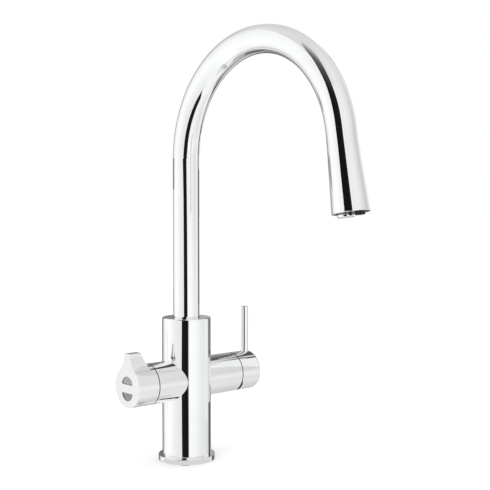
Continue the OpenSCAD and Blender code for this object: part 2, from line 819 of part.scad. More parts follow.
module knob_bearing_plate() {
    color("black") difference() {
        union() {
            disc_x(housing_d - 2 * housing_wall - 2 * seat, -housing_mouth, -housing_mouth + lid_t);
            disc_x(boss_d, -housing_mouth, -housing_mouth + boss_len);
        }
        disc_x(shaft_d + 2 * fit, -housing_mouth - eps, -housing_mouth + boss_len + eps);
    }
}

module sensor_board() {
    color("darkgreen") difference() {
        disc_x(housing_d - 2 * housing_wall - 2 * seat, -board_x - board_t, -board_x);
        disc_x(3, -board_x - board_t - eps, -board_x + eps);
    }
}

// Socket that the control cable plugs into, facing the column
module cable_socket() {
    mouth_w = cable_socket_w - 2 * cable_socket_wall;
    mouth_h = cable_socket_h - 2 * cable_socket_wall;
    color("ivory") difference() {
        translate([-board_x + seat, 0, barrel_z])
            block_yz(board_x - housing_back + 3, cable_socket_w, cable_socket_h);
        translate([-board_x + 3, 0, barrel_z]) block_yz(board_x - housing_back + 1, mouth_w, mouth_h);
    }
}

// Torsion spring round the shaft, between its clip and its magnet
module knob_return_spring() {
    wire = 1.2;
    pitch = 1.5;
    turns = 3;
    color("gray") translate([-clip_x + clip_t + seat + wire / 2, 0, barrel_z])
        coil(shaft_d / 2 + 2 * fit + wire / 2, pitch, turns, wire);
}

// ---------- control knob: turning pieces ----------

// Outline of the knob seen from its face: a round body that sweeps into a blunt fin
module teardrop() {
    r = barrel_d / 2;
    half_w = fin_top_w / 2;
    sweep_r = (half_w * half_w + fin_top_h * fin_top_h - r * r) / (2 * (r - half_w));
    tangent_y = r * (half_w + sweep_r) / (r + sweep_r);
    corner_r = 1.1;
    circle(r);
    difference() {
        translate([-tangent_y, 0]) square([2 * tangent_y, fin_top_h]);
        for (side = [-1, 1]) {
            translate([side * (half_w + sweep_r), fin_top_h]) circle(sweep_r, $fn = 180);
            translate([side * (half_w - corner_r), fin_top_h - corner_r]) scale([side, 1]) difference() {
                square(corner_r + 1);
                circle(corner_r);
            }
        }
    }
}

// Points of an arc, without its first one
function arc(centre, r, from, to, steps) =
    [for (i = [1:steps]) let (a = from + (to - from) * i / steps) centre + r * [cos(a), sin(a)]];

// Half-round outline of a push pad, flat side towards the middle: side 1 lies above, -1 below
module pad_outline(side, grow) {
    corner_z = pad_band / 2 + pad_corner_r;
    arc_z = pad_band / 2 + pad_h - pad_r;
    corner_y = sqrt((pad_r - pad_corner_r) ^ 2 - (corner_z - arc_z) ^ 2);
    lean = atan2(corner_z - arc_z, corner_y);
    scale([1, side]) polygon(concat(
        [[corner_y, pad_band / 2 - grow]],
        arc([corner_y, corner_z], pad_corner_r + grow, -90, lean, 6),
        arc([0, arc_z], pad_r + grow, lean, 180 - lean, 30),
        arc([-corner_y, corner_z], pad_corner_r + grow, 180 - lean, 270, 6)
    ));
}

// The room behind the leaning fin, down to where the fin has merged into the round body
module behind_fin() {
    root_h = barrel_d / 2;
    root_x = -knob_face + fin_root_len;
    lean = (fin_root_len - fin_top_len) / (fin_top_h - root_h);
    low = root_h / 2;
    high = fin_top_h + 1;
    clear_x = -knob_back + fin_root_len;
    translate([0, barrel_d / 2, barrel_z]) rotate([90, 0, 0]) linear_extrude(barrel_d) polygon([
        [root_x + lean * (root_h - low), low],
        [root_x - lean * (high - root_h), high],
        [clear_x, high],
        [clear_x, low],
    ]);
}

module knob_shell() {
    color("silver") difference() {
        union() {
            disc_x(barrel_d, -knob_face, -knob_back);
            difference() {
                plate_x(-knob_face, knob_len) teardrop();
                behind_fin();
            }
        }
        disc_x(cavity_d, -face_in, -knob_back + eps);
        for (side = [-1, 1])
            plate_x(-knob_face - eps, knob_face_t + 2 * eps, pads_z) pad_outline(side, pad_gap);
        translate([-knob_grub_x, 0, barrel_z - barrel_d / 2 - eps])
            cylinder(d = grub_d + 2 * seat, h = barrel_d / 2);
    }
}

module knob_hub() {
    color("gray") difference() {
        union() {
            disc_x(cavity_d - 2 * seat, -hub_front, -hub_back);
            disc_x(hub_boss_d, -hub_back, -hub_boss_back);
        }
        disc_x(shaft_d + 2 * seat, -hub_front - eps, -hub_boss_back + eps);
        translate([-knob_grub_x, 0, barrel_z - cavity_d / 2])
            cylinder(d = grub_d + 2 * seat, h = cavity_d / 2);
    }
}

module knob_shaft() {
    color("lightgray") difference() {
        ring_x(shaft_d, shaft_bore_d, -hub_front + seat, -shaft_back);
        ring_x(shaft_d + 1, clip_groove_d, -clip_x - seat, -clip_x + clip_t + seat);
    }
}

// Open ring in the shaft's groove, behind the bearing
module shaft_clip() {
    clip_mouth = 6.8;
    color("gray") difference() {
        ring_x(clip_d, clip_groove_d + 2 * seat, -clip_x, -clip_x + clip_t);
        translate([-clip_x - 1, clip_d / 2, barrel_z]) block_yz(clip_t + 2, clip_d, clip_mouth);
    }
}

// Ring magnet on the shaft's inner end, read by the sensor board
module shaft_magnet() {
    color("gray") ring_x(magnet_d, shaft_d + 2 * seat, -shaft_back - magnet_len, -shaft_back);
}

module knob_grub_screw() {
    bottom_z = barrel_z - barrel_d / 2 + 0.5;
    color("gray") translate([-knob_grub_x, 0, bottom_z]) difference() {
        cylinder(d = grub_d, h = barrel_d / 2 - 0.5 - shaft_d / 2 - seat);
        hex_recess();
    }
}

module button_board() {
    color("darkgreen") ring_x(cavity_d - 2 * seat, shaft_bore_d, -button_board_x, -button_board_x + board_t);
}

module button_switches() {
    color("black") for (side = [-1, 1]) {
        z = pads_z + side * pad_mid_z;
        translate([-button_board_x - switch_t, 0, z]) block_yz(switch_t, switch_w, switch_w);
        rod_x(2, -button_board_x - switch_t - switch_pin, -button_board_x - switch_t, z);
    }
}

// A push pad: lens in the face, rim behind it, plunger over its switch
module push_pad(side) {
    plunger_end = button_board_x + switch_t + switch_pin + pad_travel + 0.1;
    rim = 0.8;
    plate_x(-knob_face + pad_recess, knob_face - pad_recess - face_in + seat, pads_z) pad_outline(side, 0);
    plate_x(-pad_flange_back - flange_t, flange_t, pads_z) pad_outline(side, rim);
    rod_x(plunger_d, -pad_flange_back, -plunger_end, pads_z + side * pad_mid_z);
}

module boiling_button() {
    color("silver") push_pad(1);
}

module chilled_button() {
    color("darkgray") push_pad(-1);
}

// Light spring between a pad's rim and the board, round the switch
module pad_spring(side) {
    free = spring_len - pad_wire_d - 2 * seat;
    turns = 3;
    translate([-pad_flange_back + seat + pad_wire_d / 2, 0, pads_z + side * pad_mid_z])
        coil(pad_spring_d / 2 - pad_wire_d / 2, free / turns, turns, pad_wire_d, steps = 16);
}

module boiling_button_spring() {
    color("gray") pad_spring(1);
}

module chilled_button_spring() {
    color("gray") pad_spring(-1);
}

// ---------- mixer cartridge: fixed pieces ----------

module cartridge_housing() {
    color("white") difference() {
        disc_x(cartridge_d, seat_x, cartridge_end);
        disc_x(cartridge_bore_d, disc_x - eps, cartridge_end - cartridge_lip);
        disc_x(mouth_lip_d, cartridge_end - cartridge_lip - eps, cartridge_end + eps);
        water_holes(water_hole_d, seat_x - eps, disc_x + eps);
    }
}

// Rubber rings that seal the ceramic disc on the cartridge's floor
module cartridge_seals() {
    color("dimgray") difference() {
        water_holes(water_hole_d - 2 * seat, seat_x + seat, disc_x - seat);
        water_holes(water_hole_d - 2 * seal_wall, seat_x, disc_x);
    }
}

module fixed_ceramic_disc() {
    color("ivory") difference() {
        disc_x(disc_d, disc_x, disc_x + disc_t);
        water_holes(water_hole_d - 1.4, disc_x - eps, disc_x + disc_t + eps);
    }
}

module cartridge_nut() {
    key_w = 5;
    key_depth = 2;
    color("peru") difference() {
        ring_x(barrel_bore_d - 2 * seat, nut_bore_d, cartridge_end, nut_end);
        translate([nut_end - key_depth, 0, barrel_z]) block_yz(key_depth + 1, barrel_d, key_w);
    }
}

// ---------- mixer cartridge: turning pieces ----------

// Rod across the barrel at the lever's pivot, centred
module pivot_rod(d, len) {
    translate([pivot_x, -len / 2, pivot_z]) rotate([-90, 0, 0]) cylinder(d = d, h = len);
}

module cartridge_rotor() {
    slot_w = stem_w + 2 * fit;
    slot_low = pivot_drop + stem_eye_r + 0.6;
    slot_high = 10;
    color("dimgray") difference() {
        union() {
            disc_x(cartridge_bore_d - 2 * fit, rotor_x, rotor_x + rotor_len);
            disc_x(mouth_lip_d - 2 * fit, rotor_x + rotor_len - eps, cartridge_end);
        }
        translate([rotor_x - eps, -slot_w / 2, barrel_z - slot_low])
            cube([cartridge_end - rotor_x + 1, slot_w, slot_low + slot_high]);
        pivot_rod(pivot_pin_d + 2 * seat, cartridge_d);
    }
}

module pivot_pin() {
    pin_len = 2 * sqrt(pow(cartridge_bore_d / 2 - 1, 2) - pow(pivot_drop + pivot_pin_d / 2, 2)) - 1;
    color("lightgray") pivot_rod(pivot_pin_d, pin_len);
}

// Ceramic disc that slides up and down on the fixed disc
module sliding_ceramic_disc() {
    water_pocket_w = 9;
    water_pocket_h = 8;
    color("ivory") difference() {
        rod_x(slider_d, slider_x, slider_x + disc_t, barrel_z + slider_rest);
        translate([slider_x - eps, 0, barrel_z + slider_rest + 2])
            block_yz(disc_t / 2, water_pocket_w, water_pocket_h);
    }
}

// Carrier behind the sliding disc: the stem's ball tip moves it
module disc_carrier() {
    pocket_w = 2 * stem_tip_r + 0.8;
    pocket_h = 2 * stem_tip_r + 0.6;
    color("white") difference() {
        rod_x(slider_d, carrier_x, carrier_x + carrier_t, barrel_z + slider_rest);
        translate([carrier_x + 0.6, 0, pivot_z]) block_yz(carrier_t, pocket_w, pocket_h);
    }
}

// ---------- mixer handle: tilting pieces ----------

module mixer_stem() {
    root_x = rotor_x + 0.6;
    root_len = cartridge_end + 0.4 - root_x;
    root_high = 5;
    color("lightgray") difference() {
        union() {
            translate([root_x, -stem_w / 2, pivot_z]) cube([root_len, stem_w, pivot_drop + root_high]);
            pivot_rod(2 * stem_eye_r, stem_w);
            disc_x(stem_d, root_x + root_len - eps, stem_end);
            rod_x(stem_neck_d, stem_tip_x, pivot_x, pivot_z);
            translate([stem_tip_x, 0, pivot_z]) sphere(stem_tip_r);
        }
        pivot_rod(pivot_pin_d + 2 * fit, 2 * stem_w);
    }
}

module cap_outside() {
    along_x(cap_back) rounded_rod(barrel_d, cap_len, cap_edge_r);
}

// The side of the cap below the pivot is cut back, so that it can tilt towards the barrel
module cap_wedge() {
    low = -barrel_d / 2 - 1;
    translate([0, barrel_d, barrel_z]) rotate([90, 0, 0]) linear_extrude(2 * barrel_d)
        polygon([
            [cap_back - 1, wedge_top],
            [cap_back, wedge_top],
            [cap_back + (wedge_top - low) * tan(wedge_angle), low],
            [cap_back - 1, low],
        ]);
}

module mixer_cap() {
    color("silver") difference() {
        cap_outside();
        disc_x(barrel_d - 2 * cap_wall, cap_back - eps, cap_back + cap_hollow);
        disc_x(stem_d + 2 * seat, cap_back, stem_end + seat);
        translate([lever_x, 0, lever_bottom_z - seat]) cylinder(d = lever_d + 2 * seat, h = barrel_d);
        translate([grub_x, 0, 0]) cylinder(d = grub_d + 2 * seat, h = barrel_z);
        cap_wedge();
    }
}

module mixer_lever() {
    edge_r = 0.5;
    color("silver") translate([lever_x, 0, lever_bottom_z])
        rounded_rod(lever_d, lever_in - seat + lever_len, edge_r);
}

module mixer_grub_screw() {
    bottom_z = barrel_z - barrel_d / 2 + 0.6;
    color("gray") translate([grub_x, 0, bottom_z]) difference() {
        cylinder(d = grub_d, h = barrel_d / 2 - 0.6 - stem_d / 2 - seat);
        hex_recess();
    }
}

// ---------- nodes ----------

base_ring();
base_gasket();
tap_body();
shank_bush();
core_clamp_ring();
water_core();
core_seals();
inlet_unions();
transfer_seals();
spout_thrust_washer();
spout_lower_bearing();
spout_upper_bearing();
spout_stop_screw();
hot_mark();
cold_mark();
spout_tube();
spout_ferrule();
mixed_water_tube();
filtered_water_tube();
outlet_carrier();
aerator_housing();
aerator_screen();
filtered_nozzle();
control_housing();
knob_bearing_plate();
sensor_board();
cable_socket();
knob_return_spring();
knob_shell();
knob_hub();
knob_shaft();
shaft_clip();
shaft_magnet();
knob_grub_screw();
button_board();
button_switches();
boiling_button();
chilled_button();
boiling_button_spring();
chilled_button_spring();
cartridge_housing();
cartridge_seals();
fixed_ceramic_disc();
cartridge_nut();
cartridge_rotor();
pivot_pin();
sliding_ceramic_disc();
disc_carrier();
mixer_stem();
mixer_cap();
mixer_lever();
mixer_grub_screw();
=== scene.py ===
"""Kitchen tap with boiling and chilled water: finishes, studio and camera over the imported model."""

import json
import math

import bpy
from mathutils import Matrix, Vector

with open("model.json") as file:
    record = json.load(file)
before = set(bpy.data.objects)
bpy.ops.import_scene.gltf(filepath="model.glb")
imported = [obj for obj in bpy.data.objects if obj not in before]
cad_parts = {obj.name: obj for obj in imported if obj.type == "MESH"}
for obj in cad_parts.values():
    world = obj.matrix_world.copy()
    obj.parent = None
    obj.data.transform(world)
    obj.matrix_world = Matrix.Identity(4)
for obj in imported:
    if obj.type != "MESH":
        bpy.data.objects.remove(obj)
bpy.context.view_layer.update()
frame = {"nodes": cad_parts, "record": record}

MM = 0.001
COLUMN_RADIUS = 0.025
BARREL_Z = 0.0828        # height of the side barrels' axis
BORE_RADIUS = 0.0202     # takes in the bores of the mixer barrel and its cap, not their outsides
SEAM_X = 0.0595          # where the cap meets the mixer barrel

# ---------- camera ----------

CAMERA_PLACE = Vector((-0.58945, -0.75238, 0.25987))
CAMERA_LOOK = Vector((0.66433, 0.74627, -0.04188))
CAMERA_LENS = 68.63      # millimetres, for the sensor's width below
SENSOR_WIDTH = 36
CLIP_START = 0.05
CLIP_END = 50


def add_object(name, data):
    thing = bpy.data.objects.new(name, data)
    bpy.context.scene.collection.objects.link(thing)
    return thing


def aim(thing, direction):
    thing.rotation_mode = "QUATERNION"
    thing.rotation_quaternion = direction.to_track_quat("-Z", "Y")


def make_camera():
    data = bpy.data.cameras.new("camera")
    data.lens = CAMERA_LENS
    data.sensor_width = SENSOR_WIDTH
    data.clip_start = CLIP_START
    data.clip_end = CLIP_END
    camera = add_object("camera", data)
    camera.location = CAMERA_PLACE
    aim(camera, CAMERA_LOOK)
    bpy.context.scene.camera = camera


# ---------- node helpers ----------

# Numbers of a Mix node's sockets: first input, second input, output.
MIX_SOCKETS = {"RGBA": (6, 7, 2), "FLOAT": (2, 3, 0)}
# The stretch of a noise pattern's 0 to 1 that most of it lies in.
NOISE_LOW, NOISE_HIGH = 0.3, 0.7


class Nodes:
    """A new material's tree. What its methods take and give as a pattern is an output socket."""

    def __init__(self, name):
        self.material = bpy.data.materials.new(name)
        self.material.use_nodes = True
        self.tree = self.material.node_tree
        self.tree.nodes.clear()

    def add(self, kind, inputs, **settings):
        """A new node, with a fixed value or a pattern on each of the inputs named."""
        node = self.tree.nodes.new(kind)
        for key, value in settings.items():
            setattr(node, key, value)
        for key, value in inputs.items():
            if isinstance(value, bpy.types.NodeSocket):
                self.tree.links.new(value, node.inputs[key])
            else:
                node.inputs[key].default_value = value
        return node

    def finish(self, shader):
        """The material, with this shader on its surface."""
        self.add("ShaderNodeOutputMaterial", {"Surface": shader})
        return self.material

    def principled(self, **sockets):
        """A Principled shader. Socket names have _ for a space."""
        inputs = {key.replace("_", " "): value for key, value in sockets.items()}
        return self.add("ShaderNodeBsdfPrincipled", inputs).outputs["BSDF"]

    def place(self, scale=(1, 1, 1), turn=(0, 0, 0), shift=(0, 0, 0)):
        """Object coordinates, stretched, turned and then shifted."""
        coords = self.add("ShaderNodeTexCoord", {}).outputs["Object"]
        inputs = {"Vector": coords, "Scale": scale, "Rotation": turn, "Location": shift}
        return self.add("ShaderNodeMapping", inputs).outputs["Vector"]

    def noise(self, size, stretch=(1, 1, 1), detail=3.0):
        """Noise whose grains are about that size, in metres."""
        coords = self.place([s / size for s in stretch])
        inputs = {"Vector": coords, "Scale": 1.0, "Detail": detail}
        return self.add("ShaderNodeTexNoise", inputs).outputs["Fac"]

    def spread(self, pattern, low, high, start=NOISE_LOW, end=NOISE_HIGH):
        """Turns a pattern that runs from start to end into numbers from low to high."""
        ends = {"From Min": start, "From Max": end, "To Min": low, "To Max": high}
        return self.add("ShaderNodeMapRange", {"Value": pattern, **ends}).outputs["Result"]

    def tint(self, pattern, dark, light):
        """Turns a noise pattern into a colour between dark and light."""
        ramp = self.add("ShaderNodeValToRGB", {"Fac": pattern})
        stops = ((NOISE_LOW, dark), (NOISE_HIGH, light))
        for element, (position, colour) in zip(ramp.color_ramp.elements, stops):
            element.position = position
            element.color = (*colour, 1)
        return ramp.outputs["Color"]

    def bump(self, pattern, depth, strength):
        """Raises the surface by the pattern, by depth in metres."""
        inputs = {"Height": pattern, "Distance": depth, "Strength": strength}
        return self.add("ShaderNodeBump", inputs).outputs["Normal"]

    def number(self, operation, a, b):
        """A Math node's result."""
        return self.add("ShaderNodeMath", {0: a, 1: b}, operation=operation).outputs["Value"]

    def choose(self, kind, mask, first, second):
        """The first where the mask is 0, the second where it is 1."""
        a, b, result = MIX_SOCKETS[kind]
        inputs = {0: mask, a: first, b: second}
        return self.add("ShaderNodeMix", inputs, data_type=kind).outputs[result]

    def inside_barrel(self, low, high, radius):
        """1 within the radius of the side barrels' axis and between two places along it, else 0."""
        across = self.place((0, 1, 1), shift=(0, 0, -BARREL_Z))
        out = self.add("ShaderNodeVectorMath", {0: across}, operation="LENGTH").outputs["Value"]
        along = self.add("ShaderNodeSeparateXYZ", {"Vector": self.place()}).outputs["X"]
        past = self.number("GREATER_THAN", along, low)
        short = self.number("LESS_THAN", along, high)
        near = self.number("LESS_THAN", out, radius)
        return self.number("MULTIPLY", near, self.number("MULTIPLY", past, short))


# ---------- finishes ----------

def chrome(name, hollow=None):
    """Polished chrome: a mirror with faint wiping marks and fine hairlines.

    A hollow is painted near-black and matte, as the shade inside it: its lowest and highest x, and
    its radius about the barrels' axis.
    """
    n = Nodes(name)
    hairlines = n.noise(0.0006, stretch=(1, 1, 0.03), detail=2.0)
    colour = n.tint(n.noise(0.035, detail=4.0), (0.885, 0.893, 0.9), (0.925, 0.93, 0.932))
    roughness = n.spread(hairlines, 0.022, 0.05, 0.35, 0.75)
    metal = 1.0
    if hollow:
        # Painted shade: within the hollow the colour turns near-black, matte and not metal, for the
        # darkness of the enclosed gap.
        inside = n.inside_barrel(*hollow)
        painted_shade_colour = n.tint(n.noise(0.002), (0.012, 0.011, 0.01), (0.03, 0.028, 0.025))
        colour = n.choose("RGBA", inside, colour, painted_shade_colour)
        roughness = n.choose("FLOAT", inside, roughness, n.spread(n.noise(0.0008), 0.55, 0.7))
        metal = n.spread(inside, 1, 0, 0, 1)
    return n.finish(n.principled(
        Base_Color=colour,
        Metallic=metal,
        Roughness=roughness,
        Normal=n.bump(hairlines, 0.0000004, 0.3),
    ))


def brushed(name, dark, light, rough):
    """Brushed metal, with the brushing along y."""
    n = Nodes(name)
    lines = n.noise(0.00025, stretch=(1, 0.02, 1))
    return n.finish(n.principled(
        Base_Color=n.tint(lines, dark, light),
        Metallic=1.0,
        Roughness=n.spread(lines, rough - 0.06, rough + 0.08),
        Normal=n.bump(lines, 0.000006, 0.5),
    ))


def turned_brass(name):
    """Machined brass: fine turning marks and a light tarnish."""
    n = Nodes(name)
    marks = n.noise(0.0002, stretch=(0.05, 0.05, 1))
    return n.finish(n.principled(
        Base_Color=n.tint(n.noise(0.006, detail=5.0), (0.55, 0.36, 0.15), (0.78, 0.58, 0.29)),
        Metallic=1.0,
        Roughness=n.spread(marks, 0.2, 0.36),
        Normal=n.bump(marks, 0.000008, 0.4),
    ))


def rubber(name):
    n = Nodes(name)
    grain = n.noise(0.0007, detail=4.0)
    return n.finish(n.principled(
        Base_Color=n.tint(grain, (0.016, 0.016, 0.017), (0.035, 0.035, 0.036)),
        IOR=1.5,
        Roughness=n.spread(grain, 0.6, 0.8),
        Normal=n.bump(grain, 0.00003, 0.5),
    ))


def plastic(name, dark, light, rough):
    """Moulded plastic with a fine grain and slight unevenness of tone."""
    n = Nodes(name)
    grain = n.noise(0.0005)
    return n.finish(n.principled(
        Base_Color=n.tint(n.noise(0.008), dark, light),
        IOR=1.47,
        Roughness=n.spread(grain, rough - 0.06, rough + 0.08),
        Normal=n.bump(grain, 0.000012, 0.4),
    ))


def ceramic(name):
    """Lapped alumina, with a fine speckle."""
    n = Nodes(name)
    speckle = n.noise(0.0006, detail=5.0)
    return n.finish(n.principled(
        Base_Color=n.tint(speckle, (0.72, 0.69, 0.63), (0.86, 0.84, 0.79)),
        IOR=1.76,
        Roughness=n.spread(speckle, 0.12, 0.22),
        Normal=n.bump(speckle, 0.000004, 0.3),
    ))


def circuit_board(name):
    """Green solder mask over raised copper tracks, on a board that stands across x."""
    n = Nodes(name)
    tracks = n.add("ShaderNodeTexBrick", {
        "Vector": n.place([0.25 / MM] * 3, turn=(0, math.radians(90), 0)),
        "Color1": (0.008, 0.09, 0.03, 1),
        "Color2": (0.01, 0.12, 0.045, 1),
        "Mortar": (0.025, 0.22, 0.09, 1),
        "Scale": 1.0,
        "Mortar Size": 0.12,
    })
    return n.finish(n.principled(
        Base_Color=tracks.outputs["Color"],
        IOR=1.55,
        Roughness=n.spread(n.noise(0.0004), 0.25, 0.4),
        Normal=n.bump(tracks.outputs["Fac"], 0.00003, 0.6),
    ))


# By the record's material slots: how each is made.
FINISHES = {slot: make(slot, *settings) for slot, make, *settings in (
    ("chrome", chrome),
    ("pad_steel", brushed, (0.3, 0.3, 0.3), (0.5, 0.5, 0.5), 0.3),
    # pad_steel_dark: the same brushed steel as pad_steel, darker as painted shade in its recess, with
    # a slightly warmer tint of its own.
    ("pad_steel_dark", brushed, (0.22, 0.22, 0.21), (0.4, 0.4, 0.38), 0.3),
    ("steel", brushed, (0.45, 0.46, 0.47), (0.62, 0.63, 0.64), 0.28),
    ("brass", turned_brass),
    ("rubber", rubber),
    ("bearing_plastic", plastic, (0.68, 0.64, 0.54), (0.78, 0.74, 0.65), 0.45),
    ("white_plastic", plastic, (0.74, 0.74, 0.72), (0.82, 0.82, 0.8), 0.4),
    ("black_plastic", plastic, (0.008, 0.008, 0.009), (0.018, 0.018, 0.02), 0.38),
    ("clear_hose", plastic, (0.5, 0.56, 0.6), (0.62, 0.68, 0.72), 0.2),
    ("hot_red", plastic, (0.42, 0.015, 0.012), (0.55, 0.03, 0.02), 0.2),
    ("cold_blue", plastic, (0.01, 0.06, 0.3), (0.03, 0.11, 0.42), 0.2),
    ("ceramic", ceramic),
    ("circuit_board", circuit_board),
)}
# Chrome whose inside is painted near-black as shade, which shows in the wedge under the mixer's cap.
CHROME_WITH_PAINTED_SHADE = {
    "tap_body": chrome("chrome_body_with_painted_shade", (0.04, SEAM_X, BORE_RADIUS)),
    "mixer_cap": chrome("chrome_cap_with_painted_shade", (SEAM_X, 0.0825, BORE_RADIUS)),
}


def dress_nodes():
    """Gives each CAD node the finish of its material slot."""
    for part in frame["record"]["subparts"]:
        name = part["node"]
        mesh = frame["nodes"][name].data
        mesh.materials.clear()
        mesh.materials.append(CHROME_WITH_PAINTED_SHADE.get(name) or FINISHES[part["material_slot"]])


# ---------- studio: cards that only the chrome mirrors ----------

# A card's tones are display tones, 0 to 255, as a chrome mirror shows them. Azimuths are in
# degrees about the column's axis from the camera's side, + to the camera's right.

CHROME_ALBEDO = 0.91
TOWARDS_CAMERA = math.atan2(CAMERA_PLACE.y, CAMERA_PLACE.x)
SKY_RADIUS = 10.0
SKY_STEP = 4             # degrees
FLAG_RADIUS = 9.0
FLAG_STEP = 3            # degrees
FLAG_FRINGE = 4          # degrees over which a flag's right edge fades
FRINGE_TONE = 150
BOARD_HEIGHT = 330       # of the boards over the tap, in millimetres
BOARD_RISE = 230         # of that above the top of the barrels
BOARD_SLANT = 0.857      # run along the barrel for each unit across it


def emission(tone):
    """Emission at which a chrome mirror shows this display tone, by the sRGB curve."""
    return (((tone / 255 + 0.055) / 1.055) ** 2.4) / CHROME_ALBEDO


def glow():
    """Emission by the tone stored on each point of a card."""
    n = Nodes("card_glow")
    tone = n.add("ShaderNodeAttribute", {}, attribute_name="tone").outputs["Color"]
    return n.finish(n.add("ShaderNodeEmission", {"Color": tone}).outputs["Emission"])


CARD_GLOW = glow()


def card(name, rows):
    """A card seen only in reflections, from rows of (point, tone) pairs."""
    across = len(rows[0])
    dots = [dot for row in rows for dot in row]
    faces = [
        (k, k + 1, k + 1 + across, k + across)
        for k in range(len(dots) - across) if k % across < across - 1
    ]
    mesh = bpy.data.meshes.new(name)
    mesh.from_pydata([point for point, tone in dots], [], faces)
    layer = mesh.color_attributes.new("tone", "FLOAT_COLOR", "POINT")
    for stored, (point, tone) in zip(layer.data, dots):
        stored.color = (*[emission(tone)] * 3, 1)
    mesh.materials.append(CARD_GLOW)
    sheet = add_object(name, mesh)
    sheet.visible_camera = False
    sheet.visible_diffuse = False
    sheet.visible_transmission = False
    sheet.visible_shadow = False


def between(stops, at):
    """Values at a place, from (place, value, ...) stops in rising order."""
    for (a, *low), (b, *high) in zip(stops, stops[1:]):
        if at <= b:
            share = (at - a) / (b - a)
            return [x + (y - x) * share for x, y in zip(low, high)]
    return list(stops[-1][1:])


def fine_steps(start, end, step):
    """Even steps from start to end, none longer than step."""
    count = max(1, math.ceil(abs(end - start) / step))
    return [start + (end - start) * i / count for i in range(count + 1)]


def around(azimuth, radius):
    """x and y at that azimuth and distance from the column's axis."""
    turn = TOWARDS_CAMERA + math.radians(azimuth)
    return radius * math.cos(turn), radius * math.sin(turn)


def sky_point(azimuth, elevation, radius):
    """A point in that direction from the middle of the column's foot."""
    rise = math.radians(elevation)
    return (*around(azimuth, radius * math.cos(rise)), radius * math.sin(rise))


def sky_sheet(name, elevations, stops):
    """A curved backdrop. Each stop holds an azimuth and the tone there at each elevation."""
    rows = []
    for elevation in fine_steps(elevations[0], elevations[-1], SKY_STEP):
        row = []
        for azimuth in fine_steps(stops[0][0], stops[-1][0], SKY_STEP):
            tones = between(stops, azimuth)
            tone = between(list(zip(elevations, tones)), elevation)[0]
            row.append((sky_point(azimuth, elevation, SKY_RADIUS), tone))
        rows.append(row)
    card(name, rows)


def sky_flag(name, edges):
    """A strip before the backdrop. Rows: elevation, left and right azimuth, left and right tone."""
    rows = []
    for elevation in fine_steps(edges[0][0], edges[-1][0], FLAG_STEP):
        left, right, left_tone, right_tone = between(edges, elevation)
        columns = (
            (left, left_tone), (right, right_tone),
            (right + FLAG_FRINGE, max(right_tone, FRINGE_TONE)),
        )
        rows.append([
            (sky_point(azimuth, elevation, FLAG_RADIUS), tone) for azimuth, tone in columns
        ])
    card(name, rows)


def board(name, corners, tones):
    """A flat card: near left, near right, far left and far right corner, in millimetres."""
    a, b, c, d = [(tuple(x * MM for x in corner), tone) for corner, tone in zip(corners, tones)]
    card(name, [[a, b], [c, d]])


def upright(name, start, end, heights, tones):
    """An upright card from x, y to x, y. Tones: start and end at the foot, then at the top."""
    board(name, [(*place, height) for height in heights for place in (start, end)], tones)


def barrel_board(name, places, rows):
    """A card over the tap, laid out by what a side barrel mirrors.

    Places are along the barrel, in millimetres. Each row holds a ring angle about the barrel
    (0 front, 90 up, 180 back) and the tone there at each place.
    """
    grid = []
    for angle, *tones in rows:
        turn = math.radians(angle)
        y = -BOARD_RISE / math.tan(turn)
        along = BOARD_SLANT * BOARD_RISE / math.sin(turn)
        grid.append([
            (((place + along) * MM, y * MM, BOARD_HEIGHT * MM), tone)
            for place, tone in zip(places, tones)
        ])
    card(name, grid)


def make_backdrop():
    sky_sheet("left_sheet", (-62, -8, 50), [
        (-125, 245, 245, 232), (-105, 255, 255, 242), (-85, 254, 255, 246),
        (-60, 244, 241, 240), (-40, 237, 234, 236), (-20, 230, 230, 232),
    ])
    sky_sheet("right_sheet", (-62, -22, -8, 10, 50), [
        (8, 228, 236, 250, 228, 230), (20, 246, 246, 255, 236, 237),
        (45, 242, 238, 251, 237, 236), (70, 233, 228, 238, 222, 230),
        (95, 230, 222, 233, 200, 224), (113, 224, 216, 229, 201, 220),
    ])
    sky_sheet("back_right", (-62, -22, -12, -4, 25, 45), [
        (113, 214, 213, 214, 216, 201, 219), (128, 212, 210, 212, 226, 222, 219),
        (145, 208, 204, 206, 240, 240, 216), (162, 203, 198, 202, 250, 248, 206),
        (180, 198, 194, 205, 252, 250, 203),
    ])
    sky_sheet("back_left", (-62, -20, -8, 15, 45), [
        (-180, 186, 176, 240, 252, 206), (-165, 184, 150, 170, 200, 206),
        (-150, 176, 130, 128, 150, 208), (-140, 214, 190, 205, 205, 218),
        (-125, 238, 244, 245, 245, 230),
    ])
    sky_sheet("ceiling_right", (50, 75, 90), [
        (-20, 216, 216, 216), (40, 234, 230, 216), (113, 220, 224, 216),
    ])
    sky_sheet("ceiling_back_right", (45, 75, 90), [(113, 219, 224, 216), (180, 204, 220, 216)])
    sky_sheet("ceiling_back_left", (45, 75, 90), [(-180, 204, 214, 216), (-125, 220, 220, 216)])
    sky_sheet("ceiling_left", (50, 75, 90), [(-125, 222, 220, 216), (-20, 214, 216, 216)])


def make_flag():
    """The dark strip that the photo shows down the middle of the column and the tube."""
    sky_flag("front_flag", [
        (-57, -23, 7, 34, 22), (-2, -22, 6, 30, 18), (3, -24, 2, 26, 18), (7, -34, -3, 18, 18),
        (10, -48, -3, 16, 18), (34, -48, -4, 24, 30), (48, -56, -8, 90, 50),
        (56, -64, -12, 115, 60), (66, -70, -15, 172, 130), (76, -75, -15, 205, 205),
    ])


